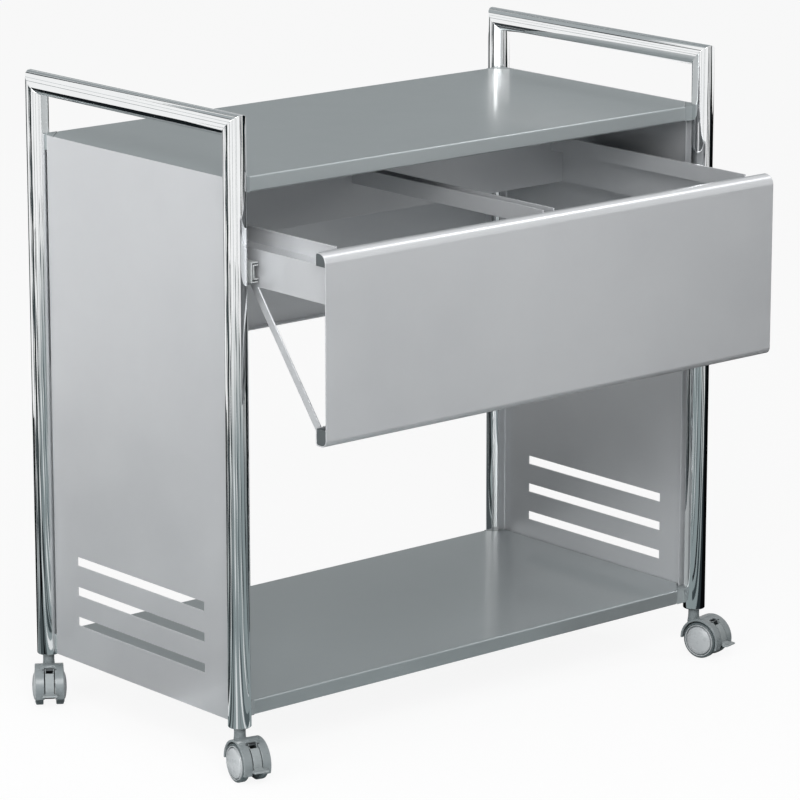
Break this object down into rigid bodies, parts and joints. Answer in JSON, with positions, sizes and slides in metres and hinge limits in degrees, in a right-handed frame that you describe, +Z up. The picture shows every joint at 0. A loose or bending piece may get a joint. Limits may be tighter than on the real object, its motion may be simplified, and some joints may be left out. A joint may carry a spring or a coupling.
{
  "type": "mobile file cart",
  "caption": "Wheeled steel office cart with a chromed tube frame, sheet shelves and side panels, and a suspension-file drawer on ball slides.",
  "frame": {"origin": "on the floor, under the centre of the whole object's box with the drawer part open", "axes": "+X to the right seen from the drawer's front, +Y to the back, +Z up"},
  "size_m": [0.8896, 0.5812, 0.85],
  "materials": {
    "chrome_tube": "polished chrome plate",
    "silver_paint": "silver metallic powder coat, satin",
    "zinc_steel": "bright zinc plate",
    "dark_plastic": "moulded, fine grain",
    "caster_plastic": "moulded, satin",
    "wheel_plastic": "moulded, satin"
  },
  "bodies": {
    "cart_frame": {"left_front_post": "chrome_tube", "left_back_post": "chrome_tube", "right_front_post": "chrome_tube", "right_back_post": "chrome_tube", "left_hand_rail": "chrome_tube", "left_side_panel": "silver_paint", "left_outer_slide_rail": "zinc_steel", "right_hand_rail": "chrome_tube", "right_side_panel": "silver_paint", "right_outer_slide_rail": "zinc_steel", "top_shelf": "silver_paint", "lower_shelf": "silver_paint", "shelf_corner_saddles": "dark_plastic", "back_panel": "silver_paint", "back_panel_spacers": "dark_plastic", "frame_screws": "zinc_steel", "side_panel_nuts": "zinc_steel", "caster_sockets": "dark_plastic"},
    "middle_rails": {"left_middle_slide_rail": "zinc_steel", "right_middle_slide_rail": "zinc_steel"},
    "drawer": {"drawer_front": "silver_paint", "drawer_front_end_caps": "dark_plastic", "left_drawer_side": "silver_paint", "left_inner_slide_rail": "zinc_steel", "left_drawer_brace": "silver_paint", "right_drawer_side": "silver_paint", "right_inner_slide_rail": "zinc_steel", "right_drawer_brace": "silver_paint", "drawer_back": "silver_paint", "centre_file_rail": "silver_paint", "drawer_rivets": "zinc_steel"},
    "outer_ball_cages": {"outer_ball_cages": "zinc_steel"},
    "inner_ball_cages": {"inner_ball_cages": "zinc_steel"},
    "left_front_caster": {"left_front_caster_housing": "caster_plastic", "left_front_caster_stem": "zinc_steel", "left_front_caster_pins": "zinc_steel"},
    "left_front_wheel_a": {"left_front_caster_wheel_a": "wheel_plastic"},
    "left_front_wheel_b": {"left_front_caster_wheel_b": "wheel_plastic"},
    "left_front_brake": {"left_front_caster_brake": "caster_plastic"},
    "left_back_caster": {"left_back_caster_housing": "caster_plastic", "left_back_caster_stem": "zinc_steel", "left_back_caster_pins": "zinc_steel"},
    "left_back_wheel_a": {"left_back_caster_wheel_a": "wheel_plastic"},
    "left_back_wheel_b": {"left_back_caster_wheel_b": "wheel_plastic"},
    "left_back_brake": {"left_back_caster_brake": "caster_plastic"},
    "right_front_caster": {"right_front_caster_housing": "caster_plastic", "right_front_caster_stem": "zinc_steel", "right_front_caster_pins": "zinc_steel"},
    "right_front_wheel_a": {"right_front_caster_wheel_a": "wheel_plastic"},
    "right_front_wheel_b": {"right_front_caster_wheel_b": "wheel_plastic"},
    "right_front_brake": {"right_front_caster_brake": "caster_plastic"},
    "right_back_caster": {"right_back_caster_housing": "caster_plastic", "right_back_caster_stem": "zinc_steel", "right_back_caster_pins": "zinc_steel"},
    "right_back_wheel_a": {"right_back_caster_wheel_a": "wheel_plastic"},
    "right_back_wheel_b": {"right_back_caster_wheel_b": "wheel_plastic"},
    "right_back_brake": {"right_back_caster_brake": "caster_plastic"}
  },
  "joints": [
    {"name": "middle_rail_slide", "type": "slide", "parent": "cart_frame", "child": "middle_rails", "axis": [0, -1, 0], "range_m": [0, 0.2]},
    {"name": "drawer_slide", "type": "slide", "parent": "middle_rails", "child": "drawer", "axis": [0, -1, 0], "range_m": [-0.138, 0.062]},
    {"name": "outer_cage_slide", "type": "slide", "parent": "cart_frame", "child": "outer_ball_cages", "axis": [0, -1, 0], "range_m": [0, 0.1]},
    {"name": "inner_cage_slide", "type": "slide", "parent": "middle_rails", "child": "inner_ball_cages", "axis": [0, -1, 0], "range_m": [-0.069, 0.031]},
    {"name": "left_front_swivel", "type": "hinge", "parent": "cart_frame", "child": "left_front_caster", "pos_m": [-0.4, -0.13764, 0.065], "axis": [0, 0, 1], "continuous": true},
    {"name": "left_front_wheel_a_spin", "type": "hinge", "parent": "left_front_caster", "child": "left_front_wheel_a", "pos_m": [-0.40437, -0.15818, 0.025], "axis": [0.9781, -0.2079, 0], "continuous": true},
    {"name": "left_front_wheel_b_spin", "type": "hinge", "parent": "left_front_caster", "child": "left_front_wheel_b", "pos_m": [-0.40437, -0.15818, 0.025], "axis": [0.9781, -0.2079, 0], "continuous": true},
    {"name": "left_front_brake_lever", "type": "hinge", "parent": "left_front_caster", "child": "left_front_brake", "pos_m": [-0.4072, -0.17149, 0.0506], "axis": [0.9781, -0.2079, 0], "range_deg": [0, 6]},
    {"name": "left_back_swivel", "type": "hinge", "parent": "cart_frame", "child": "left_back_caster", "pos_m": [-0.4, 0.27237, 0.065], "axis": [0, 0, 1], "continuous": true},
    {"name": "left_back_wheel_a_spin", "type": "hinge", "parent": "left_back_caster", "child": "left_back_wheel_a", "pos_m": [-0.41204, 0.25516, 0.025], "axis": [0.8192, -0.5736, 0], "continuous": true},
    {"name": "left_back_wheel_b_spin", "type": "hinge", "parent": "left_back_caster", "child": "left_back_wheel_b", "pos_m": [-0.41204, 0.25516, 0.025], "axis": [0.8192, -0.5736, 0], "continuous": true},
    {"name": "left_back_brake_lever", "type": "hinge", "parent": "left_back_caster", "child": "left_back_brake", "pos_m": [-0.41985, 0.24401, 0.0506], "axis": [0.8192, -0.5736, 0], "range_deg": [0, 6]},
    {"name": "right_front_swivel", "type": "hinge", "parent": "cart_frame", "child": "right_front_caster", "pos_m": [0.4, -0.13764, 0.065], "axis": [0, 0, 1], "continuous": true},
    {"name": "right_front_wheel_a_spin", "type": "hinge", "parent": "right_front_caster", "child": "right_front_wheel_a", "pos_m": [0.40437, -0.15818, 0.025], "axis": [0.9781, 0.2079, 0], "continuous": true},
    {"name": "right_front_wheel_b_spin", "type": "hinge", "parent": "right_front_caster", "child": "right_front_wheel_b", "pos_m": [0.40437, -0.15818, 0.025], "axis": [0.9781, 0.2079, 0], "continuous": true},
    {"name": "right_front_brake_lever", "type": "hinge", "parent": "right_front_caster", "child": "right_front_brake", "pos_m": [0.4072, -0.17149, 0.0506], "axis": [0.9781, 0.2079, 0], "range_deg": [0, 6]},
    {"name": "right_back_swivel", "type": "hinge", "parent": "cart_frame", "child": "right_back_caster", "pos_m": [0.4, 0.27237, 0.065], "axis": [0, 0, 1], "continuous": true},
    {"name": "right_back_wheel_a_spin", "type": "hinge", "parent": "right_back_caster", "child": "right_back_wheel_a", "pos_m": [0.41204, 0.25516, 0.025], "axis": [0.8192, 0.5736, 0], "continuous": true},
    {"name": "right_back_wheel_b_spin", "type": "hinge", "parent": "right_back_caster", "child": "right_back_wheel_b", "pos_m": [0.41204, 0.25516, 0.025], "axis": [0.8192, 0.5736, 0], "continuous": true},
    {"name": "right_back_brake_lever", "type": "hinge", "parent": "right_back_caster", "child": "right_back_brake", "pos_m": [0.41985, 0.24401, 0.0506], "axis": [0.8192, 0.5736, 0], "range_deg": [0, 6]}
  ],
  "couplings": [
    {"joint": "outer_cage_slide", "follows": "middle_rail_slide", "ratio": 0.5},
    {"joint": "inner_cage_slide", "follows": "drawer_slide", "ratio": 0.5}
  ]
}
